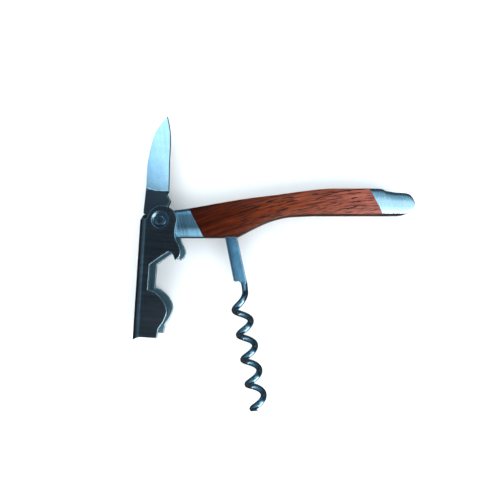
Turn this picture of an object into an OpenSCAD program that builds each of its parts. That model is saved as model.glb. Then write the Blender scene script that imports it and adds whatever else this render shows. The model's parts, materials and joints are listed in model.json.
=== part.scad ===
// Waiters corkscrew, lying flat on the side of its lever.
// The pivot rivet joins the lever, the knife and the front of the handle.
// The worm swings on its own pin in the middle of the handle.
// X runs from the pivot to the tail, Y from the worm's point to the knife's point.
// Z is square to the flat side, with the lever's far wall on the ground.

/* [Handle] */
// Distance from the pivot to the end of the tail
handle_length = 107.5; // [104:0.5:112]
// Gap between the two liners, where the knife and the worm fold in
slot_width = 2.8; // [2.8:0.1:3.2]
// Thickness of one steel liner
liner_thickness = 0.9; // [0.7:0.1:1.1]
// Thickness of one wooden scale or bolster at its crown
scale_thickness = 2.7; // [2.2:0.1:3.2]
// Share of the scale's thickness that is left at its edges
edge_share = 0.62; // [0.5:0.02:0.9]
// Share of the scale's thickness that is left at the end of the tail
tail_share = 0.8; // [0.6:0.05:1]

/* [Lever] */
// Thickness of the lever's sheet steel
lever_wall = 1.2; // [1:0.1:1.4]
// Side clearance between the lever and the handle
lever_clearance = 0.3; // [0.25:0.05:0.5]
// Outer bend radius of the channel
bend_radius = 3.4; // [2.6:0.1:4]
// Angle of the open lever below the handle's axis
lever_rest = 93.7; // [85:0.1:97]

/* [Knife] */
// Thickness of the blade and its tang
blade_thickness = 2; // [1.6:0.1:2]
// Thickness of the cutting edge
edge_thickness = 0.2; // [0.1:0.05:0.4]
// Height of the knife's point above the pivot
blade_reach = 45.6; // [42:0.1:46]

/* [Worm] */
// Angle of the open worm below the handle's axis
worm_rest = 80.1; // [76:0.1:84]
// Diameter of the worm's wire
wire_diameter = 2.7; // [2.2:0.1:2.8]
// Outer diameter of the helix
helix_diameter = 8.84; // [8:0.02:9]
// Distance from one turn to the next
helix_pitch = 10.86; // [9.6:0.02:11]
// Number of turns from the shank to the point
helix_turns = 4.72; // [4:0.02:4.76]
// Thickness of the worm's flat shank
shank_thickness = 2.6; // [2.2:0.1:2.6]

/* [Rivet and pins] */
// Radius of the pivot rivet's shaft
rivet_radius = 1.6; // [1.4:0.1:1.8]
// Radius of the rivet's heads, set into the lever's walls
rivet_head_radius = 2.5; // [2.2:0.1:2.8]
// Radius of the worm's hinge pin
worm_pin_radius = 1.25; // [1:0.05:1.4]
// Radius of the small fixed pins
small_pin_radius = 0.8; // [0.6:0.05:1]
// Radial clearance of a turning piece on its pin
running_clearance = 0.05; // [0.02:0.01:0.1]
// Radial clearance of a fixed pin in its hole
pin_clearance = 0.02; // [0.01:0.01:0.05]

/* [Hidden] */
$fn = 64;
cut = 0.5;   // how far a cutting shape runs past the face it cuts
far_out = 200;

// Layers from the middle plane outwards
slot_face = slot_width / 2;
liner_face = slot_face + liner_thickness;
scale_face = liner_face + scale_thickness;
lever_inner = scale_face + lever_clearance;
lever_outer = lever_inner + lever_wall;

worm_pin_at = [28.85, -4.3];
web_outer = -8.96;
web_inner = web_outer + lever_wall;
web_end = 51.5;
worm_reach = 83.66;   // depth of the worm's point below the pivot

// The open object ends at the lever's foot, the tail, the worm's point and the knife's point.
// The pivot stands where the middle of those four ends is at the origin.
pivot_at = [
    -(web_end * cos(lever_rest) + web_outer * sin(lever_rest) + handle_length) / 2,
    (worm_reach - blade_reach) / 2
];

// ---- Curves ----

// Smooth curve through points p, with n steps between two points
function spline_point(a, b, c, d, t) =
    0.5 * (2 * b + (c - a) * t + (2 * a - 5 * b + 4 * c - d) * t * t
    + (3 * b - a - 3 * c + d) * t * t * t);
function spline(p, n = 5) = [
    for (i = [0:len(p) - 2], j = [0:n - 1])
        spline_point(p[max(i - 1, 0)], p[i], p[i + 1], p[min(i + 2, len(p) - 1)], j / n),
    p[len(p) - 1]
];

// Arc round c from angle a to angle b
function arc(c, r, a, b, n = 12) =
    [for (i = [0:n]) c + r * [cos(a + (b - a) * i / n), sin(a + (b - a) * i / n)]];

function reversed(p) = [for (i = [len(p) - 1:-1:0]) p[i]];
function spread(a, b, n) = [for (i = [0:n - 1]) a + (b - a) * i / n];

// ---- Handle outline: back edge and belly against the distance from the pivot ----

front_x = -5.5;
belly_y = -7.05;
belly_corner = 31.9;
tail_y = 2.7;
back_edge = spline([
    [front_x, -1.8], [-4.7, 1], [-2.6, 2.8], [0, 3.4], [12, 5], [23.3, 7], [35.3, 9], [49.5, 10.8],
    [58.9, 12.1], [69.8, 13.3], [77.5, 13.4], [92, 13.35], [95.2, 12.45], [99, 11.8],
    [handle_length - 3, 11.3], [handle_length - 0.9, 9.7], [handle_length, 7.1]
]);
belly = concat(
    spline([[front_x, -1.8], [-4.9, -4.3], [-3.1, -6.1], [0, belly_y], [2, belly_y]]),
    spline([[belly_corner, belly_y], [38.9, -3.3], [46, -0.1], [53.2, 1.9], [59.1, 2.45], [66, tail_y]]),
    spline([
        [handle_length - 4.5, tail_y], [handle_length - 2, 3.2], [handle_length - 0.5, 4.9],
        [handle_length, 7.1]
    ])
);
function back_y(x) = lookup(x, back_edge);
function belly_y_at(x) = lookup(x, belly);

// Slanted joints between bolsters and wood, from the back edge to the belly
front_joint = [[11.8, back_y(11.8)], [17.9, belly_y]];
rear_joint = [[87.85, back_y(87.85)], [93.7, tail_y]];
nose = [[front_x, -1.8], [front_x, -1.8]];
tail = [[handle_length, 7.1], [handle_length, 7.1]];

// Places along the belly where the handle's sections stand, closer together where it curves
front_stations = concat(
    [for (i = [0:4]) front_x * cos(18 * i)],
    spread(0, front_joint[1][0], 5),
    [front_joint[1][0]]
);
scale_stations = concat(
    spread(front_joint[1][0], belly_corner, 5),
    spread(belly_corner, 66, 16),
    spread(66, rear_joint[1][0], 7),
    [rear_joint[1][0]]
);
rear_stations = concat(
    spread(rear_joint[1][0], handle_length - 5, 5),
    [for (i = [0:6]) handle_length - 5 + 5 * sin(15 * i)]
);
stations = concat(
    front_stations,
    [for (i = [1:len(scale_stations) - 1]) scale_stations[i]],
    [for (i = [1:len(rear_stations) - 1]) rear_stations[i]]
);
handle_outline = concat(
    [for (x = stations) [x, belly_y_at(x)]],
    reversed([for (i = [1:len(stations) - 2]) [stations[i], back_y(stations[i])]])
);

// Section of the handle's side from belly to back edge: share of the height, share of the crown
crown_share = [0, 0, 0.07, 0.22, 0.5, 0.78, 0.93, 1, 1];
crown_rise = [0, edge_share, 0.84, 0.96, 1, 0.96, 0.84, edge_share, 0];
taper_x = 92;
function side_height(x) =
    scale_thickness * (1 - (1 - tail_share) * max(0, x - taper_x) / (handle_length - taper_x));

// ---- Pins ----

stop_pin_at = [9.3, -3.6];
stop_pin_radius = 1;
spacer_pins_at = [[56, 7], [72, 8], [84, 8]];
scale_pins_at = [[20.5, 3.2], [40, 5.5]];
front_bolster_pin_at = [8.5, 0.8];
rear_bolster_pins_at = [[96.5, 7.6], [102.5, 7]];
pin_depth = 1.6;      // how deep a fixed pin goes into a scale or a bolster

// ---- Leaf spring ----

spacer_front = 47.5;
spring_thickness = 0.8;
spring_line = spline([[27.2, -1.12], [29.5, -1.08], [35, -0.65], [41, 0.05], [47.5, 1.35], [57, 3.9]], 4);
spring_outline = concat(
    [for (p = spring_line) p - [0, spring_thickness / 2]],
    reversed([for (p = spring_line) p + [0, spring_thickness / 2]])
);

// ---- Lever side, along the lever and across it towards its mouth ----

lobe_at = [0.19, 0.97];
lobe_radius = 6.17;
side_end = 49.5;
side_top = 0.3;
web_zone = -5.4;
lever_side = concat(
    spline([[side_end, -4.6], [49.75, -6], [50.5, -7.5], [web_end, web_outer]], 3),
    [[side_top, web_outer]],
    arc(lobe_at, lobe_radius, 266, 92, 24),
    spline([[2.3, 6.83], [5.2, 6.63], [7.6, 7.1], [10.1, 8.45], [12.6, 9.5], [15, 9.05], [16.65, 7.6]]),
    spline([[16.3, 7.25], [15, 6.7], [13.7, 5.85], [13.14, 4.44]]),
    [[18.98, -3.03], [29.57, -3.18]],
    spline([
        [30.1, -0.6], [33, 3], [37.6, 5.4], [42.1, 4.35], [45.4, 2.4], [47.3, 2.15], [side_end, 1.9]
    ])
);

// Between its bends the web runs past the side walls as a tongue
tongue_end = -2.42;
tongue_half = 3.3;
function tongue_u(z) = side_top + (tongue_end - side_top) * (1 - pow(z / tongue_half, 2));
tongue_plan = concat(
    [for (i = [-6:6]) [tongue_u(tongue_half * i / 6), tongue_half * i / 6]],
    [[side_top + 2, tongue_half], [side_top + 2, -tongue_half]]
);

// What is taken off the outer face of the tongue, so that it leans in towards the knife's heel
tongue_lean = 0.45;
tongue_bevel = [
    [side_top, web_outer - cut], [side_top, web_outer], [tongue_end, web_outer + tongue_lean],
    [tongue_end - 1, web_outer + tongue_lean], [tongue_end - 1, web_outer - cut]
];

// ---- Knife, standing up from the pivot ----

tang_radius = 6.4;
heel = [-8.34, 3.15];
choil_y = 11.7;
knife_outline = concat(
    [heel],
    spline([[-8.3, 5], [-7.26, 14.4], [-6.48, 25.6], [-4.06, 36], [-1.5, 41.2], [1.96, blade_reach]]),
    spline([[2.5, 43.2], [3.1, 39.6], [3.3, 34.7], [2.9, 25], [2.61, 12.9]]),
    arc([2.5, choil_y], 0.8, 110, 235, 6),
    spline([[2.3, 10.4], [3.05, 9.2], [3.05, 8.2], [2.26, 6.7], [2.3, 5.97]]),
    arc([0, 0], tang_radius, 62, -158, 28),
    [[-7, -0.6], [-7.3, 1.5], [-7.24, 2.98]]
);
grind_y = 12.9;
grind_section = [
    [heel[0], blade_thickness / 2], [3.4, edge_thickness / 2],
    [4, far_out], [heel[0] - 1, far_out], [heel[0] - 1, blade_thickness / 2]
];

// ---- Worm, along its axis from the pin ----

shank_lean = 1.9;
shank_lobe_radius = 2.65;
shank_length = 22;
helix_offset = -0.77;
wire_radius = wire_diameter / 2;
coil_radius = helix_diameter / 2 - wire_radius;
ramp_start = 23.5;
ramp_length = helix_pitch;
wire_sides = 10;
ring_count = 112;
degrees_per_mm = 360 / helix_pitch;
ramp_turn = degrees_per_mm * ramp_length / 2;
last_turn = 360 * helix_turns;
point_turn = 120;     // stretch of the last turn that tapers to the point

// Distance along the axis where the wire has turned by q degrees
function along(q) = q < ramp_turn
    ? ramp_start + sqrt(2 * ramp_length * q / degrees_per_mm)
    : ramp_start + ramp_length + (q - ramp_turn) / degrees_per_mm;
function turn_rate(q) = PI / 180 * degrees_per_mm * (q < ramp_turn ? sqrt(q / ramp_turn) : 1);
function wire_size(q) = q < last_turn - point_turn
    ? wire_radius
    : wire_radius * max(0.12, sqrt((last_turn - q) / point_turn));
function unit(v) = v / norm(v);
function wire_ring(q) =
    let (
        outward = [0, cos(q), sin(q)],
        forward = unit([1, -coil_radius * sin(q) * turn_rate(q), coil_radius * cos(q) * turn_rate(q)]),
        sideways = cross(forward, outward),
        middle = [along(q), helix_offset, 0] + coil_radius * outward
    )
    [for (i = [0:wire_sides - 1])
        let (turn = 360 * i / wire_sides)
        middle + wire_size(q) * (cos(turn) * outward + sin(turn) * sideways)];
wire_rings = concat(
    [[for (p = wire_ring(0)) p - [3, 0, 0]]],
    [for (i = [0:ring_count]) wire_ring(last_turn * i / ring_count)]
);

// Solid through a list of rings that all have the same number of points
module loft(rings) {
    sides = len(rings[0]);
    last = len(rings) - 1;
    walls = [for (k = [0:last - 1], i = [0:sides - 1])
        let (here = k * sides + i, beside = k * sides + (i + 1) % sides)
        each [[here, here + sides, beside], [beside, here + sides, beside + sides]]];
    first_end = [for (i = [0:sides - 1]) i];
    last_end = [for (i = [sides - 1:-1:0]) last * sides + i];
    polyhedron(points = [for (r = rings) each r], faces = concat([first_end], walls, [last_end]));
}

// ---- Placing ----

module at_pivot() {
    translate([pivot_at[0], pivot_at[1], lever_outer]) children();
}
module at_lever() {
    at_pivot() rotate([0, 0, -lever_rest]) children();
}
module at_worm() {
    at_pivot() translate([worm_pin_at[0], worm_pin_at[1], 0]) rotate([0, 0, -worm_rest]) children();
}
// side is 1 for the near half and -1 for the far half
module on_side(side) {
    if (side > 0) children();
    else mirror([0, 0, 1]) children();
}
module slab(low, high) {
    translate([0, 0, low]) linear_extrude(high - low) children();
}
module rod(at, radius, low, high) {
    translate([at[0], at[1], low]) cylinder(r = radius, h = high - low);
}
// Holes for every pin that goes through a liner or into what covers it
module pin_holes(points, radius, low, high) {
    for (p = points) rod(p, radius + pin_clearance, low, high);
}

// ---- Handle pieces ----

// One crowned piece of the handle's side, from the liner outwards.
// Its sections slant step by step from the first joint to the second.
module handle_side(belly_x, first, second) {
    rings = [for (x = belly_x)
        let (
            share = (x - first[1][0]) / (second[1][0] - first[1][0]),
            back_x = first[0][0] + share * (second[0][0] - first[0][0]),
            low = [x, belly_y_at(x)],
            high = [back_x, max(back_y(back_x), low[1] + 0.05)]
        )
        [for (i = [len(crown_rise) - 1:-1:0])
            let (flat = low + (high - low) * crown_share[i])
            [flat[0], flat[1], liner_face + side_height(flat[0]) * crown_rise[i]]]];
    loft(rings);
}
module side_holes() {
    pivot_hole = rivet_radius + running_clearance;
    deep = liner_face + pin_depth;
    rod([0, 0], pivot_hole, 0, lever_outer);
    pin_holes([stop_pin_at], stop_pin_radius, 0, deep);
    pin_holes([worm_pin_at], worm_pin_radius, 0, deep);
    pin_holes(spacer_pins_at, small_pin_radius, 0, deep);
    pin_holes(scale_pins_at, small_pin_radius, 0, deep);
    pin_holes([front_bolster_pin_at], small_pin_radius, 0, deep);
    pin_holes(rear_bolster_pins_at, small_pin_radius, 0, deep);
}
module liner(side) {
    color("silver") at_pivot() on_side(side) difference() {
        slab(slot_face, liner_face) polygon(handle_outline);
        side_holes();
    }
}
module scale(side) {
    color([0.45, 0.16, 0.08]) at_pivot() on_side(side) difference() {
        handle_side(scale_stations, front_joint, rear_joint);
        side_holes();
    }
}
module front_bolster(side) {
    color("lightsteelblue") at_pivot() on_side(side) difference() {
        handle_side(front_stations, nose, front_joint);
        side_holes();
    }
}
module rear_bolster(side) {
    color("lightsteelblue") at_pivot() on_side(side) difference() {
        handle_side(rear_stations, rear_joint, tail);
        side_holes();
    }
}
module liner_near() { liner(1); }
module liner_far() { liner(-1); }
module scale_near() { scale(1); }
module scale_far() { scale(-1); }
module front_bolster_near() { front_bolster(1); }
module front_bolster_far() { front_bolster(-1); }
module rear_bolster_near() { rear_bolster(1); }
module rear_bolster_far() { rear_bolster(-1); }

// The spacer holds the two liners apart behind the knife's point
module back_spacer() {
    color("slategray") at_pivot() difference() {
        slab(-slot_face, slot_face) intersection() {
            polygon(handle_outline);
            translate([spacer_front, -10]) square([handle_length, 30]);
        }
        slab(-slot_face - cut, slot_face + cut) polygon(spring_outline);
        pin_holes(spacer_pins_at, small_pin_radius, -slot_face - cut, slot_face + cut);
        pin_holes(rear_bolster_pins_at, small_pin_radius, -slot_face - cut, slot_face + cut);
    }
}
// The spring's tail sits in the spacer's groove and its nose presses on the worm's lobe
module leaf_spring() {
    half_width = slot_face - 0.1;
    color("gray") at_pivot() slab(-half_width, half_width) polygon(spring_outline);
}
module through_pins(points, radius, reach) {
    color("dimgray") at_pivot() for (p = points) rod(p, radius, -reach, reach);
}
module short_pins(points, side) {
    color("dimgray") at_pivot() on_side(side)
        for (p = points) rod(p, small_pin_radius, slot_face, liner_face + pin_depth);
}
module stop_pin() { through_pins([stop_pin_at], stop_pin_radius, liner_face + pin_depth); }
module worm_pin() { through_pins([worm_pin_at], worm_pin_radius, liner_face + pin_depth); }
module spacer_pins() { through_pins(spacer_pins_at, small_pin_radius, liner_face + pin_depth); }
module rear_bolster_pins() { through_pins(rear_bolster_pins_at, small_pin_radius, liner_face + pin_depth); }
module scale_pins_near() { short_pins(scale_pins_at, 1); }
module scale_pins_far() { short_pins(scale_pins_at, -1); }
module front_bolster_pins() {
    short_pins([front_bolster_pin_at], 1);
    short_pins([front_bolster_pin_at], -1);
}

// ---- Lever ----

// Channel section with its web at the low side, cut square to the lever
module channel_section(face, half_width, radius) {
    translate([face, radius - half_width]) square([60, 2 * (half_width - radius)]);
    translate([face + radius, -half_width]) square([60, 2 * half_width]);
    for (s = [-1, 1]) translate([face + radius, s * (half_width - radius)]) circle(radius);
}
module lever_channel() {
    start = lobe_at[0] - lobe_radius - 2;
    sink = 0.55;   // depth of the dish round each end of the rivet
    dish_radius = rivet_head_radius + 1.1;
    color([0.3, 0.34, 0.4]) at_lever() difference() {
        intersection() {
            translate([start, 0, 0]) rotate([90, 0, 90]) linear_extrude(web_end + 1 - start) difference() {
                channel_section(web_outer, lever_outer, bend_radius);
                channel_section(web_inner, lever_inner, bend_radius - lever_wall);
            }
            union() {
                slab(-lever_outer, lever_outer) polygon(lever_side);
                translate([0, web_zone, 0]) rotate([90, 0, 0])
                    linear_extrude(web_zone - web_outer) polygon(tongue_plan);
            }
        }
        slab(-lever_outer, lever_outer) polygon(tongue_bevel);
        rod([0, 0], rivet_head_radius, -lever_outer - cut, lever_outer + cut);
        for (s = [0, 1]) mirror([0, 0, s])
            translate([0, 0, lever_outer - sink])
                cylinder(r1 = rivet_head_radius, r2 = dish_radius, h = sink);
    }
}
// Turned rivet with a ring groove in each head, sunk below the lever's faces
module pivot_rivet() {
    head_top = lever_outer - 0.45;
    groove_floor = head_top - 0.25;
    half = [
        [0, 0], [rivet_radius, 0], [rivet_radius, lever_inner], [rivet_head_radius, lever_inner],
        [rivet_head_radius, head_top - 0.1], [rivet_head_radius - 0.1, head_top], [2.1, head_top],
        [1.9, groove_floor], [1.6, groove_floor], [1.45, head_top], [0, head_top]
    ];
    color("lightslategray") at_lever() for (s = [0, 1]) mirror([0, 0, s]) rotate_extrude() polygon(half);
}

// ---- Knife ----

module knife_blade() {
    half = blade_thickness / 2;
    color([0.7, 0.85, 0.95]) at_pivot() difference() {
        slab(-half, half) polygon(knife_outline);
        for (s = [0, 1]) mirror([0, 0, s])
            translate([0, grind_y + far_out, 0]) rotate([90, 0, 0])
                linear_extrude(far_out) polygon(grind_section);
        rod([0, 0], rivet_radius + running_clearance, -half - cut, half + cut);
    }
}
// Thin washers between the tang and the liners
module knife_washers() {
    inner = blade_thickness / 2 + 0.05;
    color("gold") at_pivot() for (s = [-1, 1]) on_side(s) difference() {
        rod([0, 0], 3.4, inner, slot_face);
        rod([0, 0], rivet_radius + running_clearance, 0, lever_inner);
    }
}

// ---- Worm ----

module worm_shank() {
    half = shank_thickness / 2;
    end_half = 2.75;
    corner = 0.9;
    outline = concat(
        arc([0, 0], shank_lobe_radius, 90, 270, 24),
        arc([shank_length - corner, corner - end_half], corner, 270, 360, 5),
        spline([[shank_length, -1.2], [shank_length + 0.3, -0.2], [shank_length + 1.6, 0.5]], 4),
        [[shank_length + 1.6, end_half - 0.05], [shank_length - 1.5, end_half]]
    );
    difference() {
        slab(-half, half) rotate(shank_lean) polygon(outline);
        rod([0, 0], worm_pin_radius + running_clearance, -half - cut, half + cut);
    }
}
module worm() {
    color([0.45, 0.6, 0.7]) at_worm() {
        worm_shank();
        loft(wire_rings);
    }
}

lever_channel();
pivot_rivet();
knife_blade();
knife_washers();
worm();
worm_pin();
liner_near();
liner_far();
scale_near();
scale_far();
front_bolster_near();
front_bolster_far();
rear_bolster_near();
rear_bolster_far();
back_spacer();
leaf_spring();
stop_pin();
spacer_pins();
scale_pins_near();
scale_pins_far();
front_bolster_pins();
rear_bolster_pins();
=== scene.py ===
import json
import math

import bmesh
import bpy
from mathutils import Matrix, Vector


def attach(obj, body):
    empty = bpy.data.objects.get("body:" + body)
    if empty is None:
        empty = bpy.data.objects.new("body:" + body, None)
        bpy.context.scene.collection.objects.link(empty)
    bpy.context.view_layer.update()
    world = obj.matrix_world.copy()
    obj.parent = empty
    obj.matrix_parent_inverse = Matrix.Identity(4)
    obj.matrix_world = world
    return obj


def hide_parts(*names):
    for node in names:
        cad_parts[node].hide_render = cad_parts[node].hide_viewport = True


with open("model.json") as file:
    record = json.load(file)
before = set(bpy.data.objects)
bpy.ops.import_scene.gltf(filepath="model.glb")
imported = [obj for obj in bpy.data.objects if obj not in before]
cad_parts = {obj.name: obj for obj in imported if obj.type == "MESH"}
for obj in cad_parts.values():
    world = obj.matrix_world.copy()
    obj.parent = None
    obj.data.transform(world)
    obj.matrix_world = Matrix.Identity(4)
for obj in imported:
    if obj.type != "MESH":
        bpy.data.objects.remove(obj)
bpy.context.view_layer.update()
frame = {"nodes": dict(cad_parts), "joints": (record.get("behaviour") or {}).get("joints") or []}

# Waiters corkscrew, lying open on the side of its lever.
# Shapes are worked out in millimetres from the pivot, the lever or the worm's pin,
# and each one is placed in the shared frame, in metres, by its place matrix.

MM = 0.001
joints = {joint["name"]: joint for joint in frame["joints"]}
pivot = Vector(joints["lever_fold"]["pos_m"])
worm_pin = Vector(joints["worm_fold"]["pos_m"])

LEVER_REST = math.radians(joints["lever_fold"]["range_deg"][1])
WORM_REST = math.radians(80.1)
AT_PIVOT = Matrix.Translation(pivot) @ Matrix.Scale(MM, 4)
AT_LEVER = AT_PIVOT @ Matrix.Rotation(-LEVER_REST, 4, "Z")
AT_WORM = Matrix.Translation(worm_pin) @ Matrix.Scale(MM, 4) @ Matrix.Rotation(-WORM_REST, 4, "Z")

# Layers of the stack, in millimetres from the middle plane
LINER_FACE = 2.3
SIDE_THICKNESS = 2.7
LEVER_INNER = 5.3
LEVER_OUTER = 6.5
BLADE_HALF = 1.0
SHANK_HALF = 1.3
RIVET_RADIUS = 1.6
RUNNING_CLEARANCE = 0.05
AXIS_GAP = 1e-4


# ---- Curves ----

def spline(points, steps=8):
    """Smooth curve through the points, with that many steps between two of them."""
    path = []
    last = len(points) - 1
    for i in range(last):
        a, b, c, d = (Vector(points[max(0, min(last, k))]) for k in (i - 1, i, i + 1, i + 2))
        for j in range(steps):
            t = j / steps
            path.append(0.5 * (
                2 * b + (c - a) * t
                + (2 * a - 5 * b + 4 * c - d) * t ** 2
                + (3 * b - a - 3 * c + d) * t ** 3
            ))
    path.append(Vector(points[last]))
    return path


def arc(centre, radius, start, end, steps):
    """Points on an arc between two angles in degrees."""
    points = []
    for i in range(steps + 1):
        angle = math.radians(start + (end - start) * i / steps)
        points.append(Vector(centre) + radius * Vector((math.cos(angle), math.sin(angle))))
    return points


def lookup(x, curve):
    """Height of a curve at x, where its points run towards larger x."""
    if x <= curve[0].x:
        return curve[0].y
    for a, b in zip(curve, curve[1:]):
        if x <= b.x:
            share = (x - a.x) / max(b.x - a.x, 1e-9)
            return a.y + share * (b.y - a.y)
    return curve[-1].y


def smoothstep(t):
    t = max(0.0, min(1.0, t))
    return t * t * (3 - 2 * t)


# ---- Mesh helpers ----

def make_piece(name, verts, faces, place, sharp_angle=35):
    """New mesh object from points in millimetres and a place matrix."""
    mesh = bpy.data.meshes.new(name)
    mesh.from_pydata([place @ Vector(v) for v in verts], [], faces)
    clean(mesh)
    obj = bpy.data.objects.new(name, mesh)
    bpy.context.scene.collection.objects.link(obj)
    shade(mesh, sharp_angle)
    return obj


def clean(mesh):
    """Welds doubled points and turns every face outwards."""
    work = bmesh.new()
    work.from_mesh(mesh)
    bmesh.ops.remove_doubles(work, verts=work.verts, dist=1e-7)
    bmesh.ops.recalc_face_normals(work, faces=work.faces)
    work.to_mesh(mesh)
    work.free()


def shade(mesh, sharp_angle):
    mesh.shade_smooth()
    mesh.set_sharp_from_angle(angle=math.radians(sharp_angle))


def loft(rings):
    """Closed skin through rings of the same number of points."""
    sides = len(rings[0])
    verts = [v for ring in rings for v in ring]
    faces = [list(range(sides))[::-1], [len(verts) - sides + i for i in range(sides)]]
    for k in range(len(rings) - 1):
        for i in range(sides):
            a, b = k * sides + i, k * sides + (i + 1) % sides
            faces.append([a, b, b + sides, a + sides])
    return verts, faces


def lathe(profile, steps=96):
    """Skin of a closed profile of (radius, height) turned about Z."""
    verts = []
    faces = []
    count = len(profile)
    for k in range(steps):
        turn = math.tau * k / steps
        verts += [(r * math.cos(turn), r * math.sin(turn), z) for r, z in profile]
        ahead = (k + 1) % steps
        for i in range(count):
            j = (i + 1) % count
            faces.append([k * count + i, ahead * count + i, ahead * count + j, k * count + j])
    return verts, faces


def apply_modifiers(obj):
    """Bakes the object's modifiers into its mesh."""
    bpy.context.view_layer.update()
    graph = bpy.context.evaluated_depsgraph_get()
    baked = bpy.data.meshes.new_from_object(obj.evaluated_get(graph))
    obj.modifiers.clear()
    obj.data = baked


def cut_with(obj, cutter, operation="DIFFERENCE"):
    """Exact boolean with another object, which is then removed."""
    boolean = obj.modifiers.new("cut", "BOOLEAN")
    boolean.operation = operation
    boolean.solver = "EXACT"
    boolean.object = cutter
    apply_modifiers(obj)
    bpy.data.objects.remove(cutter)


def drill(obj, place, radius, reach):
    """Round hole along Z through the middle of a place."""
    verts, faces = loft([
        [(radius * math.cos(math.tau * i / 64), radius * math.sin(math.tau * i / 64), z) for i in range(64)]
        for z in (-reach, reach)
    ])
    cut_with(obj, make_piece("drill", verts, faces, place))


def round_edges(obj, width, segments=3, angle=30, finish=None, clamp=True):
    """Bevels every edge sharper than the angle; the new faces may take a material of their own, such as a
    lighter steel for a painted highlight along the edges.
    """
    bevel = obj.modifiers.new("edges", "BEVEL")
    if finish is not None:
        obj.data.materials.append(finish)
        bevel.material = len(obj.data.materials) - 1
    bevel.width = width * MM
    bevel.segments = segments
    bevel.limit_method = "ANGLE"
    bevel.angle_limit = math.radians(angle)
    bevel.harden_normals = True
    bevel.use_clamp_overlap = clamp


def own(obj, body, nodes):
    """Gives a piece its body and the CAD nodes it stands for."""
    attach(obj, body)
    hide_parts(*nodes)


# ---- Material helpers ----

class Nodes:
    """Short way to build one material's node tree."""

    def __init__(self, name, **shader):
        self.material = bpy.data.materials.new(name)
        self.material.use_nodes = True
        self.tree = self.material.node_tree
        self.shader = self.tree.nodes["Principled BSDF"]
        for socket, value in shader.items():
            self.shader.inputs[socket.replace("_", " ")].default_value = value

    def add(self, kind, inputs=None, **settings):
        node = self.tree.nodes.new(kind)
        for key, value in settings.items():
            setattr(node, key, value)
        for key, value in (inputs or {}).items():
            if isinstance(value, bpy.types.NodeSocket):
                self.tree.links.new(value, node.inputs[key])
            else:
                node.inputs[key].default_value = value
        return node

    def place(self, angle, scale):
        """Object coordinates turned about Z, then stretched; scale is features per metre."""
        here = self.add("ShaderNodeTexCoord").outputs["Object"]
        turned = self.add("ShaderNodeMapping", {"Vector": here, "Rotation": (0, 0, angle)})
        return self.add("ShaderNodeMapping", {"Vector": turned.outputs[0], "Scale": scale}).outputs[0]

    def noise(self, vector, detail=3.0, roughness=0.55, distortion=0.0):
        return self.add("ShaderNodeTexNoise", {
            "Vector": vector,
            "Scale": 1.0,
            "Detail": detail,
            "Roughness": roughness,
            "Distortion": distortion,
        }).outputs["Fac"]

    def remap(self, value, low, high, to_low=0.0, to_high=1.0):
        return self.add("ShaderNodeMapRange", {
            "Value": value, "From Min": low, "From Max": high, "To Min": to_low, "To Max": to_high,
        }).outputs[0]

    def math(self, operation, a, b=0.0):
        return self.add("ShaderNodeMath", {0: a, 1: b}, operation=operation).outputs[0]

    def mix(self, share, a, b, blend="MIX"):
        node = self.add("ShaderNodeMix", data_type="RGBA", blend_type=blend)
        for index, value in ((0, share), (6, a), (7, b)):
            if isinstance(value, bpy.types.NodeSocket):
                self.tree.links.new(value, node.inputs[index])
            else:
                node.inputs[index].default_value = value
        return node.outputs[2]

    def ramp(self, value, stops):
        node = self.add("ShaderNodeValToRGB", {"Fac": value})
        elements = node.color_ramp.elements
        while len(elements) < len(stops):
            elements.new(0.5)
        for element, (position, colour) in zip(elements, stops):
            element.position = position
            element.color = (*colour, 1.0)
        return node.outputs["Color"]

    def bump(self, height, strength, depth):
        inputs = {"Height": height, "Strength": strength, "Distance": depth}
        return self.add("ShaderNodeBump", inputs).outputs[0]

    def link(self, value, socket):
        self.tree.links.new(value, self.shader.inputs[socket])


def shades(colour, low, high):
    return [(*(channel * factor for channel in colour), 1.0) for factor in (low, high)]


FINE = (90, 4200, 400)
BRUSHED = (60, 2000, 300)
COARSE = (50, 1500, 300)
ALL_ROUND = (1200, 1200, 1200)


def steel(name, tint, roughness, grain=0.0, streak=0.06, cloud=0.08, grain_size=FINE, relief=0.1):
    """Ground steel: streaks along the grain angle and faint clouding."""
    m = Nodes(name, Metallic=1.0, Specular_IOR_Level=0.5)
    streaks = m.noise(m.place(grain, grain_size), detail=2.0, roughness=0.5)
    clouds = m.noise(m.place(0.0, (160, 160, 160)), detail=3.0)
    dark, light = shades(tint, 1 - streak, 1 + streak)
    colour = m.mix(m.remap(streaks, 0.3, 0.7), dark, light)
    dull, clear = shades((1, 1, 1), 1 - cloud, 1.0)
    m.link(m.mix(1.0, colour, m.mix(m.remap(clouds, 0.35, 0.65), dull, clear), "MULTIPLY"), "Base Color")
    rough = m.remap(streaks, 0.25, 0.75, roughness - 0.015, roughness + 0.02)
    m.link(m.math("ADD", rough, m.remap(clouds, 0.35, 0.65, 0.01, -0.01)), "Roughness")
    m.link(m.bump(streaks, relief, 0.0000004), "Normal")
    return m.material


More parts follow.
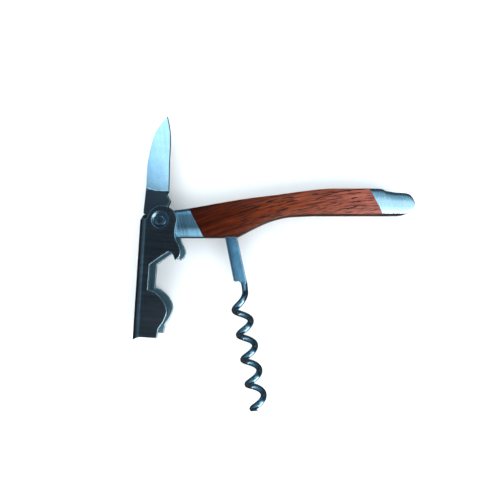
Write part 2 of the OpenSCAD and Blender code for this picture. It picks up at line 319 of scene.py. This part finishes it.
def rosewood():
    """Oiled rosewood, dark maroon at the front and lighter towards the tail, with short black pores."""
    m = Nodes("rosewood", Coat_Roughness=0.24, Specular_IOR_Level=0.05)
    here = m.add("ShaderNodeTexCoord").outputs["Object"]
    axes = m.add("ShaderNodeSeparateXYZ", {0: here}).outputs
    # The grain climbs steeply at the front and flattens out towards the tail
    climb = m.math("MULTIPLY", axes[0], m.math("SUBTRACT", 0.25, m.math("MULTIPLY", axes[0], 1.86)))
    bent = m.add("ShaderNodeCombineXYZ", {0: axes[0], 1: m.math("SUBTRACT", axes[1], climb), 2: axes[2]})

    def along_grain(*scale):
        return m.add("ShaderNodeMapping", {"Vector": bent.outputs[0], "Scale": scale}).outputs[0]

    bands = m.noise(along_grain(36, 760, 300), detail=4.0, roughness=0.65, distortion=0.3)
    fibre = m.noise(along_grain(130, 2000, 1500), detail=4.0, roughness=0.7)
    pores = m.noise(along_grain(200, 2100, 1200), detail=1.0, roughness=0.5)
    patch = m.noise(m.place(0.0, (70, 110, 110)), detail=1.0)
    position = m.math("ADD", m.remap(axes[0], -0.036, 0.056), m.remap(bands, 0.3, 0.7, -0.13, 0.13))
    base = m.ramp(position, [
        (0.0, (0.022, 0.003, 0.001)), (0.22, (0.060, 0.008, 0.001)),
        (0.45, (0.150, 0.026, 0.007)), (0.70, (0.215, 0.052, 0.030)), (1.0, (0.330, 0.095, 0.070)),
    ])
    dark, light = shades((1, 1, 1), 0.5, 1.4)
    base = m.mix(1.0, base, m.mix(m.remap(fibre, 0.3, 0.7), dark, light), "MULTIPLY")
    pore = m.math("MULTIPLY", m.remap(pores, 0.56, 0.58), m.remap(patch, 0.35, 0.55, 0.45, 1.0))
    pore = m.math("MULTIPLY", pore, m.remap(axes[0], -0.03, 0.0, 0.4, 1.0))
    m.link(m.mix(pore, base, (0.010, 0.004, 0.003, 1.0)), "Base Color")
    m.link(m.math("ADD", m.remap(fibre, 0.3, 0.7, 0.36, 0.46), m.math("MULTIPLY", pore, 0.25)), "Roughness")
    m.link(m.remap(axes[0], -0.025, 0.015, 0.04, 0.45), "Coat Weight")
    relief = m.math("SUBTRACT", m.math("MULTIPLY", fibre, 0.25), pore)
    m.link(m.bump(relief, 0.5, 0.00006), "Normal")
    return m.material


def brass():
    """Plain brass with a turned grain."""
    m = Nodes("washer_brass", Metallic=1.0)
    grain = m.noise(m.place(0.0, (900, 900, 900)), detail=3.0)
    dark, light = shades((0.72, 0.5, 0.2), 0.8, 1.1)
    m.link(m.mix(m.remap(grain, 0.3, 0.7), dark, light), "Base Color")
    m.link(m.remap(grain, 0.3, 0.7, 0.28, 0.42), "Roughness")
    return m.material


ACROSS_LEVER = LEVER_REST + math.pi / 2
ACROSS_HANDLE = 1.35
# Painted reflection: the lever's walls get a dark, slightly blue steel that stands in for the dark room
# overhead reflected in their flat faces, not the steel's own colour.
lever_steel = steel(
    "lever_steel", (0.205, 0.222, 0.25), 0.21,
    grain=ACROSS_LEVER, streak=0.2, cloud=0.22, grain_size=COARSE,
)
# Inner faces of the walls: a rougher finish, with a lighter, bluer tint than the outside that is painted
# light.
lever_inside = steel("lever_inside", (0.34, 0.52, 0.60), 0.34, streak=0.03, grain_size=ALL_ROUND)
# Painted shade: a near-black copy of the lever steel for the web's outer faces.
shaded_lever_back = steel("shaded_lever_back", (0.085, 0.095, 0.11), 0.24, grain=ACROSS_LEVER)
# Painted highlight: a lighter copy of the steel for the lever's bevelled edges and the knife's kick.
edge_highlight_steel = steel("edge_highlight_steel", (0.50, 0.72, 0.80), 0.24, grain_size=ALL_ROUND)
# Painted reflection: the blade's light sky-blue tint stands in for the sky it reflects, not the steel's own
# colour.
blade_steel = steel("blade_steel", (0.50, 0.78, 1.0), 0.2, grain=1.45, grain_size=(60, 1300, 300))
# Painted shade: a dark copy of the blade steel for the tang, the ricasso, the plunge and the sharpened
# edge.
shaded_knife_steel = steel("shaded_knife_steel", (0.155, 0.18, 0.215), 0.25)
# Painted light: both bolsters are one steel, but the front one gets a darker blue tint and the rear one a
# bright cyan, standing in for the light each one reflects.
front_steel = steel(
    "front_steel", (0.33, 0.60, 0.78), 0.25,
    grain=ACROSS_HANDLE, streak=0.24, cloud=0.2, grain_size=BRUSHED, relief=0.0,
)
rear_steel = steel(
    "rear_steel", (0.61, 0.88, 1.0), 0.27,
    grain=ACROSS_HANDLE, streak=0.05, grain_size=BRUSHED, relief=0.0,
)
# Painted light: the shank's bright blue and the wire's darker teal are two tints of one steel, standing in
# for the sky reflected on the flat shank and the shade on the wire.
worm_steel = steel("worm_steel", (0.38, 0.67, 0.88), 0.19, grain=-WORM_REST, streak=0.12, cloud=0.3)
wire_steel = steel("wire_steel", (0.26, 0.44, 0.56), 0.16, grain_size=ALL_ROUND)
# Painted reflection: the rivet's dark teal and the pressed dish's blue tint are set to the look of their
# reflections, not the steel's own colour.
rivet_steel = steel("rivet_steel", (0.13, 0.19, 0.24), 0.24, grain_size=ALL_ROUND)
dish_steel = steel("dish_steel", (0.17, 0.27, 0.34), 0.26, grain_size=ALL_ROUND)
liner_steel = steel("liner_steel", (0.30, 0.34, 0.39), 0.34, grain=0.1)
spring_steel = steel("spring_steel", (0.32, 0.36, 0.41), 0.36, grain=0.1)
pin_steel = steel("pin_steel", (0.40, 0.43, 0.47), 0.3, grain_size=ALL_ROUND)
wood = rosewood()
washer_brass = brass()


# ---- Handle sides: scales and bolsters ----

FRONT_X = -5.5
BELLY_Y = -7.05
BELLY_CORNER = 31.9
TAIL_Y = 2.7
NOSE_Y = -1.8
HANDLE_LENGTH = 107.5
TAIL_TIP = (HANDLE_LENGTH, 7.1)
TAPER_X = 92.0
TAIL_SHARE = 0.8
EDGE_SHARE = 0.62
LEAST_HEIGHT = 0.06
FINE_STEPS = 40
back_edge = spline([
    (FRONT_X, NOSE_Y), (-4.7, 1), (-2.6, 2.8), (0, 3.4), (12, 5), (23.3, 7), (35.3, 9), (49.5, 10.8),
    (58.9, 12.1), (69.8, 13.3), (77.5, 13.4), (92, 13.35), (95.2, 12.45), (99, 11.8),
    (HANDLE_LENGTH - 3, 11.3), (HANDLE_LENGTH - 0.9, 9.7), TAIL_TIP,
], FINE_STEPS)
belly_nose = spline([(FRONT_X, NOSE_Y), (-4.9, -4.3), (-3.1, -6.1), (0, BELLY_Y), (2, BELLY_Y)], FINE_STEPS)
belly_hollow = spline([
    (BELLY_CORNER, BELLY_Y), (38.9, -3.3), (46, -0.1), (53.2, 1.9), (59.1, 2.45), (66, TAIL_Y),
], FINE_STEPS)
belly_tail = spline([
    (HANDLE_LENGTH - 4.5, TAIL_Y), (HANDLE_LENGTH - 2, 3.2), (HANDLE_LENGTH - 0.5, 4.9), TAIL_TIP,
], FINE_STEPS)
belly = belly_nose + belly_hollow + belly_tail

# Joints between pieces: distance along the back edge, then along the belly
NOSE = (FRONT_X, FRONT_X)
FRONT_JOINT = (11.8, 17.9)
REAR_JOINT = (87.85, 93.7)
TAIL = (HANDLE_LENGTH, HANDLE_LENGTH)


def side_height(p, share, crowns):
    """Height of the crowned side above the liner; share runs from 0 at the belly to 1 at the back edge."""
    full = SIDE_THICKNESS * (1 - (1 - TAIL_SHARE) * max(0.0, p.x - TAPER_X) / (HANDLE_LENGTH - TAPER_X))
    return full * (1 - (1 - EDGE_SHARE) * abs(2 * share - 1) ** crowns[share > 0.5])


def handle_side(name, first, second, side, stations, crowns, across=40):
    """One scale or bolster, from one joint to the next; side is 1 for the near half.

    The two crowns say how flat its belly half and its back half stay before they round off.
    """
    rings = []
    for station in stations:
        belly_x = first[1] + station * (second[1] - first[1])
        back_x = first[0] + station * (second[0] - first[0])
        low = Vector((belly_x, lookup(belly_x, belly)))
        high = Vector((back_x, lookup(back_x, back_edge)))
        if (high - low).length < LEAST_HEIGHT:
            high = low + Vector((0, LEAST_HEIGHT))
        ring = [(low.x, low.y, side * LINER_FACE)]
        for i in range(across + 1):
            share = 0.5 - 0.5 * math.cos(math.pi * i / across)
            p = low + share * (high - low)
            ring.append((p.x, p.y, side * (LINER_FACE + side_height(p, share, crowns))))
        ring.append((high.x, high.y, side * LINER_FACE))
        rings.append(ring)
    verts, faces = loft(rings)
    return make_piece(name, verts, faces, AT_PIVOT, sharp_angle=25)


def even(count):
    return [i / count for i in range(count + 1)]


def eased_start(count):
    return [1 - math.cos(math.pi / 2 * i / count) for i in range(count + 1)]


corner_share = (BELLY_CORNER - FRONT_JOINT[1]) / (REAR_JOINT[1] - FRONT_JOINT[1])
front_count, back_count = 16, 76
scale_shares = [corner_share * i / front_count for i in range(front_count)] + [
    corner_share + (1 - corner_share) * i / back_count for i in range(back_count + 1)
]
tail_shares = [1 - s for s in eased_start(140)][::-1]

for label, side in (("near", 1), ("far", -1)):
    front = handle_side(f"front_bolster_{label}_skin", NOSE, FRONT_JOINT, side, eased_start(36), (2.5, 9.0))
    scale = handle_side(f"scale_{label}_skin", FRONT_JOINT, REAR_JOINT, side, scale_shares, (3.2, 6.0))
    rear = handle_side(f"rear_bolster_{label}_skin", REAR_JOINT, TAIL, side, tail_shares, (7.0, 3.2))
    drill(front, AT_PIVOT, RIVET_RADIUS + RUNNING_CLEARANCE, LEVER_OUTER)
    # The bolsters' steels carry painted light: darker blue at the front, bright cyan at the tail.
    for obj, finish in ((front, front_steel), (scale, wood), (rear, rear_steel)):
        obj.data.materials.append(finish)
    round_edges(scale, 0.1, segments=2, angle=25)
    own(front, "handle", [f"front_bolster_{label}"])
    own(scale, "handle", [f"scale_{label}"])
    own(rear, "handle", [f"rear_bolster_{label}"])


# ---- Lever ----
# In the lever's place x runs from the rivet to the foot and y from the web to the mouth.

DISH_RADIUS = 3.7
DISH_DEPTH = 0.6
HEAD_RADIUS = 2.5
SHEET = LEVER_OUTER - LEVER_INNER
WEB_OUTER = -8.96
WEB_INNER = WEB_OUTER + SHEET
WEB_ZONE = -5.4
WEB_END = 51.5
SIDE_END = 49.5
SIDE_TOP = 0.3
TONGUE_END = -2.42
TONGUE_LEAN = 0.45
TONGUE_HALF = 3.3
BEND_RADIUS = 3.4
LOBE_AT = (0.19, 0.97)
LOBE_RADIUS = 6.17
side_outline = (
    spline([(SIDE_END, -4.6), (49.75, -6), (50.5, -7.5), (WEB_END, WEB_OUTER)], 3)
    + [Vector((x, WEB_OUTER - 1)) for x in (WEB_END + 0.2, SIDE_TOP)]
    + [Vector((SIDE_TOP, WEB_OUTER))]
    + arc(LOBE_AT, LOBE_RADIUS, 266, 92, 40)
    + spline([(2.3, 6.83), (5.2, 6.63), (7.6, 7.1), (10.1, 8.45), (12.6, 9.5), (15, 9.05), (16.65, 7.6)], 4)
    + spline([(16.3, 7.25), (15, 6.7), (13.7, 5.85), (13.14, 4.44)], 3)
    + [Vector((18.98, -3.03)), Vector((29.57, -3.18))]
    + spline([
        (30.1, -0.6), (33, 3), (37.6, 5.4), (42.1, 4.35), (45.4, 2.4), (47.3, 2.15), (SIDE_END, 1.9),
    ], 5)
)


def tongue_u(z):
    """Where the tongue at the web's upper end lies along the lever, at a level of the stack."""
    return SIDE_TOP + (TONGUE_END - SIDE_TOP) * (1 - (z / TONGUE_HALF) ** 2)


def prism(name, outline, low, high, turn=None, steps=1):
    """Solid between two levels of a flat outline, in the lever's place."""
    levels = [low + (high - low) * i / steps for i in range(steps + 1)]
    verts, faces = loft([[(p[0], p[1], level) for p in outline] for level in levels])
    return make_piece(name, verts, faces, AT_LEVER if turn is None else AT_LEVER @ turn)


def channel_outline():
    """Section of the folded sheet as (across, level): outer skin one way, inner skin back."""
    above_mouth = 12.0
    outline = []
    for face, half, radius, order in (
        (WEB_OUTER, LEVER_OUTER, BEND_RADIUS, 1), (WEB_INNER, LEVER_INNER, BEND_RADIUS - SHEET, -1),
    ):
        skin = [Vector((above_mouth, half))]
        skin += arc((face + radius, half - radius), radius, 90, 180, 20)
        skin += arc((face + radius, radius - half), radius, 180, 270, 20)
        skin.append(Vector((above_mouth, -half)))
        outline += skin[::order]
    return outline


def dish_cutter(side):
    """Turned cutter for the pressed dish round one end of the rivet; side is 1 for the near wall."""
    outside, inside = LEVER_OUTER + 1, LEVER_INNER - 1
    profile = [(0, outside), (0, inside), (HEAD_RADIUS, inside)]
    for share in even(12):
        radius = HEAD_RADIUS + (DISH_RADIUS - HEAD_RADIUS) * share
        profile.append((radius, LEVER_OUTER - DISH_DEPTH * (1 - smoothstep(share))))
    profile.append((DISH_RADIUS, outside))
    verts, faces = lathe([(r + AXIS_GAP, z * side) for r, z in profile])
    return make_piece("dish", verts, faces, AT_LEVER)


def lever_finish(centre, facing):
    """Which of the lever's materials a face gets, from its middle and its normal in the lever's place; the
    dish walls, the inner faces and the web's outer faces take steels with painted light or shade.
    """
    sloping = abs(facing.z) < 0.999 and abs(centre.z) > LEVER_INNER - 0.4
    # The dish's sloping walls take their own tint of the lever steel, which is painted reflection.
    if sloping and math.hypot(centre.x, centre.y) < DISH_RADIUS:
        return 2
    # Inner faces: rougher steel, with painted light in its tint.
    if facing.z * centre.z < -2 and abs(centre.z) < LEVER_INNER + 0.02:
        return 1
    # Painted shade: the web's outer faces take the near-black steel.
    if facing.y < -0.55 and centre.y < -6:
        return 3
    return 0


def lever():
    """The folded channel with a pressed dish round each end of the rivet; its bevelled edges take a lighter
    steel as a painted highlight.
    """
    upright = Matrix.Rotation(math.radians(90), 4, "X")
    along = Matrix(((0, 0, 1, 0), (1, 0, 0, 0), (0, 1, 0, 0), (0, 0, 0, 1)))
    past_wall = LEVER_OUTER + 1
    obj = prism("lever_skin", channel_outline(), -8, WEB_END + 1, along, steps=20)

    # Side view of both walls, joined by the tongue at the web's upper end
    plan = [(tongue_u(z), z) for z in (-3, -2.4, -1.7, -1, 0, 1, 1.7, 2.4, 3)]
    plan += [(SIDE_TOP + 0.2, 3.6), (SIDE_TOP + 2, 3.6), (SIDE_TOP + 2, -3.6), (SIDE_TOP + 0.2, -3.6)]
    shape = prism("side", side_outline, -past_wall, past_wall)
    cut_with(shape, prism("tongue", plan, -WEB_ZONE, -WEB_OUTER + 0.5, upright), "UNION")
    cut_with(obj, shape, "INTERSECT")

    # The tongue's outer face leans inwards
    lean = [(SIDE_TOP, -10), (SIDE_TOP, WEB_OUTER), (TONGUE_END, WEB_OUTER + TONGUE_LEAN)]
    lean += [(TONGUE_END - 1, WEB_OUTER + TONGUE_LEAN), (TONGUE_END - 1, -10)]
    cut_with(obj, prism("lean", lean, -past_wall, past_wall))
    for side in (1, -1):
        cut_with(obj, dish_cutter(side))

    shade(obj.data, 25)
    obj.data.materials.clear()
    for finish in (lever_steel, lever_inside, dish_steel, shaded_lever_back):
        obj.data.materials.append(finish)
    to_lever = AT_LEVER.inverted()
    for face in obj.data.polygons:
        facing = (to_lever.to_3x3() @ face.normal).normalized()
        face.material_index = lever_finish(to_lever @ face.center, facing)
    # Painted highlight: the bevels take the lighter edge steel.
    round_edges(obj, 0.22, segments=3, angle=32, finish=edge_highlight_steel, clamp=False)
    weighted = obj.modifiers.new("normals", "WEIGHTED_NORMAL")
    weighted.keep_sharp = True
    own(obj, "lever", ["lever_channel"])


def rivet():
    """Turned rivet: shaft, and a head with a sunken ring round a domed middle at each end."""
    top = LEVER_OUTER - 0.42
    half = [(RIVET_RADIUS, LEVER_INNER), (HEAD_RADIUS, LEVER_INNER), (HEAD_RADIUS, top - 0.2)]
    half += [(2.38, top - 0.12), (2.25, top - 0.3), (1.9, top - 0.34), (1.72, top - 0.06)]
    half += [(1.65 * math.cos(a), top - 0.03 + 0.06 * math.sin(a)) for a in (0.2, 0.5, 0.8, 1.1, 1.4)]
    half += [(AXIS_GAP, top + 0.03)]
    profile = half + [(r, -z) for r, z in half[::-1]]
    verts, faces = lathe(profile)
    obj = make_piece("pivot_rivet_skin", verts, faces, AT_LEVER, sharp_angle=28)
    obj.data.materials.append(rivet_steel)
    own(obj, "lever", ["pivot_rivet"])


lever()
rivet()


# ---- Knife ----

TANG_RADIUS = 6.4
HEEL = (-8.34, 3.15)
CHOIL = (2.5, 11.7)
BLADE_TIP = (1.96, 45.6)
EDGE_BEVEL = 0.42
CLOSE_LEVELS_END = 16
GRIND_START = 0.95
GRIND_END = 0.22
EDGE_HALF = 0.05


def turned(points):
    """The same curve with x and y swapped, so that lookup gives x at a height y."""
    return [Vector((p.y, p.x)) for p in points]


tang_bottom = -TANG_RADIUS + 0.02
spine = turned(
    arc((0, 0), TANG_RADIUS, 269, 202, 20)
    + [Vector(p) for p in ((-7, -0.6), (-7.3, 1.5), (-7.24, 2.98), (-8.1, 3.1), (HEEL[0], 3.2))]
    + spline([(-8.33, 3.4), (-8.3, 5), (-7.26, 14.4), (-6.48, 25.6), (-4.06, 36), (-1.5, 41.2), BLADE_TIP])
)
edge = turned(
    arc((0, 0), TANG_RADIUS, 271, 428, 36)
    + spline([(2.3, 6.1), (2.26, 6.7), (3.05, 8.2), (3.05, 9.2), (2.3, 10.4)], 6)
    + arc(CHOIL, 0.8, 235, 110, 8)
    + spline([(2.61, 12.9), (2.9, 25), (3.3, 34.7), (3.1, 39.6), (2.5, 43.2), BLADE_TIP], 10)
)
plunge_line = spline([(-8.5, 14.9), (-7.1, 13.9), (-3.8, 12.75), (-1.3, 12.5), (1.9, 12.45), (4, 12.5)], 6)


def blade_half(x, y, spine_x, edge_x):
    """Half thickness of the knife at a point: full at the tang, ground to a wedge above the plunge."""
    share = (x - spine_x) / max(edge_x - EDGE_BEVEL - spine_x, 0.1)
    spine_half = min(GRIND_START, GRIND_END + 0.095 * (edge_x - spine_x))
    wedge = spine_half + share * (GRIND_END - spine_half)
    if x > edge_x - EDGE_BEVEL:
        wedge = GRIND_END + (x - edge_x + EDGE_BEVEL) / EDGE_BEVEL * (EDGE_HALF - GRIND_END)
    ground = smoothstep((y - lookup(x, plunge_line)) / 0.55)
    return BLADE_HALF + ground * (min(wedge, BLADE_HALF) - BLADE_HALF)


def knife():
    """Foil knife with a ricasso, a curved plunge, a flat grind and a narrow sharpened edge."""
    levels = [tang_bottom + (HEEL[1] - tang_bottom) * s for s in even(22)]
    levels += [HEEL[1] + (CLOSE_LEVELS_END - HEEL[1]) * i / 80 for i in range(1, 81)]
    reach = BLADE_TIP[1] - 0.02 - CLOSE_LEVELS_END
    levels += [CLOSE_LEVELS_END + reach * math.sin(math.pi / 2 * i / 60) for i in range(1, 61)]
    across = 22
    rings = []
    for y in levels:
        left, right = lookup(y, spine), lookup(y, edge)
        right = max(right, left + 0.03)
        bevel = min(EDGE_BEVEL, 0.5 * (right - left))
        xs = [left + (right - bevel - left) * i / across for i in range(across + 1)]
        xs += [right - bevel / 2, right]
        near = [(x, y, blade_half(x, y, left, right)) for x in xs]
        rings.append(near + [(x, level, -z) for x, level, z in near[::-1]])
    verts, faces = loft(rings)
    obj = make_piece("knife_skin", verts, faces, AT_PIVOT, sharp_angle=14)
    drill(obj, AT_PIVOT, RIVET_RADIUS + RUNNING_CLEARANCE, LEVER_OUTER)
    for finish in (blade_steel, shaded_knife_steel, edge_highlight_steel):
        obj.data.materials.append(finish)
    to_pivot = AT_PIVOT.inverted()
    # Painted shade: the tang, the ricasso up to just past the plunge, and the sharpened edge take the dark
    # knife steel; the rest of the blade keeps its sky-blue painted reflection.
    for face in obj.data.polygons:
        centre = to_pivot @ face.center
        past_plunge = centre.y - lookup(centre.x, plunge_line)
        honed = centre.x > lookup(centre.y, edge) - EDGE_BEVEL
        # Painted highlight: sharpened-edge faces well below the plunge, at the kick, take the lighter edge
        # steel.
        if honed and past_plunge < -1.5:
            face.material_index = 2
        elif honed or past_plunge < 0.6:
            face.material_index = 1
    round_edges(obj, 0.07, segments=2, angle=60)
    own(obj, "knife", ["knife_blade"])


knife()


# ---- Worm ----

WIRE = 1.35
HELIX_OFFSET = -0.77
COIL = 8.84 / 2 - WIRE
PITCH = 10.86
RAMP_START = 23.5
TURNS = 4.72
POINT_TURN = math.radians(125)
SHANK_LEAN = math.radians(1.9)
SHANK_END = 22.0
LOBE = 2.65
PIN_RADIUS = 1.25
RING_POINTS = 36


def squircle(centre, side, up, half_width, half_height, power):
    """Ring between an ellipse (power 2) and a rounded rectangle (higher power)."""
    ring = []
    for i in range(RING_POINTS):
        a = math.tau * i / RING_POINTS
        c, s = math.cos(a), math.sin(a)
        x = math.copysign(abs(c) ** (2 / power), c) * half_width
        y = math.copysign(abs(s) ** (2 / power), s) * half_height
        ring.append(centre + side * x + up * y)
    return ring


def shank_rings():
    """Flat shank: round lobe at the pin, straight blank, shoulder on the left, neck into the wire."""
    lean = Matrix.Rotation(SHANK_LEAN, 3, "Z")
    up = Vector((0, 0, 1))
    left_side = [Vector(p) for p in ((0, -2.55), (20.9, -2.72))] + [
        Vector((SHANK_END - 1.0 + 1.0 * math.sin(a), -1.74 - 1.0 * math.cos(a)))
        for a in (0.25, 0.55, 0.85, 1.15, 1.4, 1.55)
    ] + spline([(22.0, -1.15), (22.12, -0.7), (22.6, -0.2), (23.2, 0.05), (23.9, 0.15)], 5)
    right_side = [Vector(p) for p in ((0, 2.55), (18, 2.68), (20.5, 2.7), (23.9, 2.86))]
    stations = [-LOBE * math.cos(math.pi / 2 * i / 10) for i in range(10)]
    stations[0] = -LOBE + 0.01
    stations += [20.9 * i / 12 for i in range(13)] + [p.x for p in left_side[2:]]
    rings = []
    for a in stations:
        if a < 0:
            low, high = -math.sqrt(LOBE ** 2 - a ** 2), math.sqrt(LOBE ** 2 - a ** 2)
        else:
            low, high = lookup(a, left_side), lookup(a, right_side)
        neck = smoothstep((a - 20.9) / 3.0)
        centre = lean @ Vector((a, (low + high) / 2, 0))
        thick = SHANK_HALF + neck * (WIRE - SHANK_HALF)
        rings.append(squircle(centre, lean @ Vector((0, 1, 0)), up, (high - low) / 2, thick, 9 - 7 * neck))
    return rings


def wire_rings():
    """Round wire: it winds up over the first turn, runs at an even pitch and tapers to the point."""
    per_mm = math.tau / PITCH
    ramp_turn = per_mm * PITCH / 2
    last = math.tau * TURNS
    rings = []
    count = 330
    for i in range(4, count + 1):
        turn = last * i / count
        if turn < ramp_turn:
            along = RAMP_START + math.sqrt(2 * PITCH * turn / per_mm)
            rate = per_mm * math.sqrt(turn / ramp_turn)
        else:
            along = RAMP_START + PITCH + (turn - ramp_turn) / per_mm
            rate = per_mm
        out = Vector((0, math.cos(turn), math.sin(turn)))
        forward = Vector((1, -COIL * math.sin(turn) * rate, COIL * math.cos(turn) * rate)).normalized()
        up = forward.cross(out)
        left = min(1.0, (last - turn) / POINT_TURN)
        size = WIRE * max(0.05, math.sqrt(left) * (0.35 + 0.65 * left) ** 0.35)
        centre = Vector((along, HELIX_OFFSET, 0)) + COIL * out
        rings.append(squircle(centre, out, up, size, size, 2))
    return rings


def worm():
    """Shank and wire in one skin, drilled for the hinge pin."""
    verts, faces = loft(shank_rings() + wire_rings())
    obj = make_piece("worm_skin", verts, faces, AT_WORM, sharp_angle=45)
    drill(obj, AT_WORM, PIN_RADIUS + RUNNING_CLEARANCE, LEVER_OUTER)
    obj.data.materials.append(worm_steel)
    obj.data.materials.append(wire_steel)
    # The wire takes the darker steel and the shank the bright blue one; both tints are painted light.
    to_worm = AT_WORM.inverted()
    for face in obj.data.polygons:
        face.material_index = int((to_worm @ face.center).x > SHANK_END + 0.5)
    own(obj, "worm", ["worm"])


worm()


# ---- CAD pieces that keep their shape ----

KEPT = {
    "liner_near": liner_steel, "liner_far": liner_steel,
    "back_spacer": spring_steel, "leaf_spring": spring_steel,
    "knife_washers": washer_brass, "worm_pin": pin_steel, "stop_pin": pin_steel,
    "spacer_pins": pin_steel, "scale_pins_near": pin_steel, "scale_pins_far": pin_steel,
    "front_bolster_pins": pin_steel, "rear_bolster_pins": pin_steel,
}
for name, finish in KEPT.items():
    node = frame["nodes"][name]
    node.data.materials.clear()
    node.data.materials.append(finish)


# ---- Stage, lights and camera ----

CEILING = 0.6
COOL_WHITE = (0.80, 0.94, 1.0)
DEEP_BLUE = (0.42, 0.78, 1.0)


def stage():
    """Pale floor that curves up into a round wall."""
    floor_radius, wall_round, wall_height, steps = 1.0, 0.6, 1.6, 96
    profile = [(0.0, 0.0), (0.3, 0.0), (floor_radius, 0.0)]
    for i in range(1, 13):
        a = math.pi / 2 * i / 12
        profile.append((floor_radius + wall_round * math.sin(a), wall_round * (1 - math.cos(a))))
    profile.append((floor_radius + wall_round, wall_height))
    mesh = bpy.data.meshes.new("floor")
    verts = []
    faces = []
    for k in range(steps):
        turn = math.tau * k / steps
        verts += [(r * math.cos(turn), r * math.sin(turn), z - 0.00005) for r, z in profile]
        ahead = (k + 1) % steps
        for i in range(len(profile) - 1):
            a, b = k * len(profile) + i, ahead * len(profile) + i
            faces.append([a, a + 1, b + 1, b])
    mesh.from_pydata(verts, [], faces)
    clean(mesh)
    shade(mesh, 180)
    floor = bpy.data.objects.new("floor", mesh)
    bpy.context.scene.collection.objects.link(floor)
    floor.visible_glossy = False
    paper = Nodes("floor_paper", Roughness=0.85, Specular_IOR_Level=0.15)
    tone = paper.noise(paper.place(0.0, (3, 3, 3)), detail=2.0)
    paper.link(paper.mix(tone, (0.87, 0.87, 0.87, 1), (0.90, 0.90, 0.90, 1)), "Base Color")
    mesh.materials.append(paper.material)


def panel(name, place, size, brightness, colour, target=None, in_metal=True):
    """Rectangular light, facing straight down or towards a target; brightness 1 is floor white."""
    light = bpy.data.lights.new(name, "AREA")
    light.shape = "RECTANGLE"
    light.size, light.size_y = size
    light.energy = brightness * math.pi * size[0] * size[1]
    light.color = colour
    obj = bpy.data.objects.new(name, light)
    obj.location = place
    if target is not None:
        obj.rotation_euler = (Vector(target) - Vector(place)).to_track_quat("-Z", "Y").to_euler()
    obj.visible_camera = False
    obj.visible_glossy = in_metal
    bpy.context.scene.collection.objects.link(obj)


def ceiling_panel(name, x_range, y_range, brightness, colour=COOL_WHITE):
    """Panel of the overhead softbox, given by its edges."""
    place = (sum(x_range) / 2, sum(y_range) / 2, CEILING)
    panel(name, place, (x_range[1] - x_range[0], y_range[1] - y_range[0]), brightness, colour)


def surroundings():
    """A dark room: blue-grey above the horizon and a warm brown table edge below it."""
    world = bpy.data.worlds.new("world")
    world.use_nodes = True
    tree = world.node_tree
    direction = tree.nodes.new("ShaderNodeTexCoord").outputs["Generated"]
    axes = tree.nodes.new("ShaderNodeSeparateXYZ")
    height = tree.nodes.new("ShaderNodeMapRange")
    height.inputs["From Min"].default_value = -1.0
    ramp = tree.nodes.new("ShaderNodeValToRGB")
    tree.links.new(direction, axes.inputs[0])
    tree.links.new(axes.outputs[2], height.inputs["Value"])
    tree.links.new(height.outputs[0], ramp.inputs["Fac"])
    tree.links.new(ramp.outputs["Color"], tree.nodes["Background"].inputs["Color"])
    tones = (
        (0.10, (0.04, 0.026, 0.018, 1)), (0.36, (0.125, 0.105, 0.09, 1)),
        (0.53, (0.08, 0.115, 0.15, 1)), (0.68, (0.026, 0.033, 0.046, 1)),
    )
    for _ in tones[2:]:
        ramp.color_ramp.elements.new(0.5)
    for element, (position, colour) in zip(ramp.color_ramp.elements, tones):
        element.position = position
        element.color = colour
    bpy.context.scene.world = world


def lights():
    """A softbox overhead on the right, blue strips on the left, a low key light and fills for the floor."""
    surroundings()
    ceiling_panel("overhead_north", (-0.12, 0.12), (0.15, 0.55), 1.55)
    ceiling_panel("overhead_north_west", (-0.17, -0.115), (0.18, 0.55), 1.2, (0.26, 0.72, 1.0))
    ceiling_panel("overhead_south", (-0.13, 0.10), (-0.55, -0.09), 1.4)
    ceiling_panel("overhead_south_west", (-0.20, -0.13), (-0.60, -0.25), 1.2, (0.6, 0.9, 1.0))
    ceiling_panel("overhead_east", (0.15, 0.75), (-0.50, 0.15), 1.6)
    ceiling_panel("overhead_north_east", (0.14, 0.75), (0.19, 0.60), 0.45, DEEP_BLUE)
    ceiling_panel("overhead_middle", (-0.06, 0.10), (-0.07, 0.08), 0.55, DEEP_BLUE)
    for name, x_range, brightness in (
        ("left_strip", (-0.50, -0.29), 0.6),
        ("left_glow", (-1.0, -0.50), 0.4),
        ("left_fade", (-2.4, -1.0), 0.25),
    ):
        ceiling_panel(name, x_range, (-0.7, 0.7), brightness, DEEP_BLUE)
    panel("key", (0.8, -0.75, 0.55), (1.0, 0.8), 5.0, (0.97, 0.98, 1.0), (0, 0, 0))
    for i in range(4):
        turn = math.radians(80 + 60 * i)
        place = (1.0 * math.cos(turn), 1.0 * math.sin(turn), 0.8)
        panel(f"floor_fill_{i}", place, (1.0, 1.0), 1.6, (1.0, 0.985, 0.97), (0, 0, 0), in_metal=False)


def camera():
    """Looks straight down; its axis is a little below the middle of the picture."""
    cam = bpy.data.cameras.new("camera")
    cam.sensor_width = 36.0
    cam.lens = 25.92
    cam.shift_y = 0.032
    cam.clip_start = 0.01
    obj = bpy.data.objects.new("camera", cam)
    obj.location = pivot + Vector((37.63, -19.42, 163.0 - 6.5)) * MM
    bpy.context.scene.collection.objects.link(obj)
    bpy.context.scene.camera = obj


stage()
lights()
camera()
bpy.context.scene.view_settings.view_transform = "Standard"
